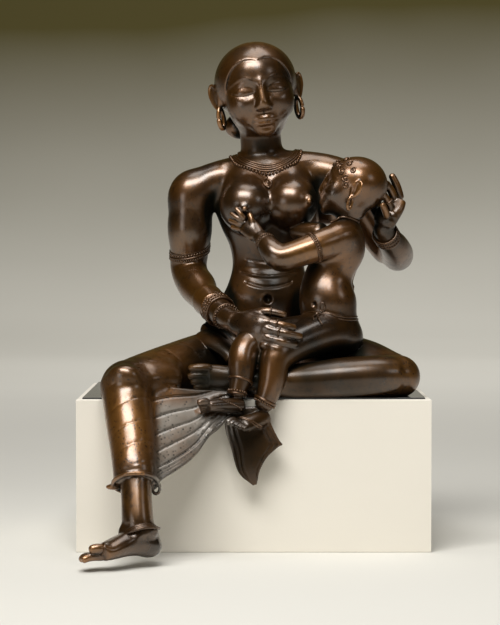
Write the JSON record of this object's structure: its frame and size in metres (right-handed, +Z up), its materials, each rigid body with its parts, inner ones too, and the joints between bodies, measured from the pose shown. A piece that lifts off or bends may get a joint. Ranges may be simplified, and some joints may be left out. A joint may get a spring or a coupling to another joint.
{
  "type": "seated mother and child figure on plinth",
  "caption": "Cast copper group of a seated mother suckling a child on her lap, her leg hanging over the front of a white block plinth with a black top sheet.",
  "frame": {"origin": "centre of the plinth's underside, on the surface that it stands on", "axes": "+Z up, +X to the viewer's right, +Y away from the viewer; the figure faces -Y"},
  "size_m": [0.227, 0.2486, 0.3328],
  "materials": {
    "copper": "dark brown patinated copper, polished where worn",
    "painted_board": "matt off-white paint",
    "black_sheet": "glossy black"
  },
  "bodies": {
    "root": {"figure": "copper", "plinth": "painted_board", "top_sheet": "black_sheet"}
  },
  "joints": []
}
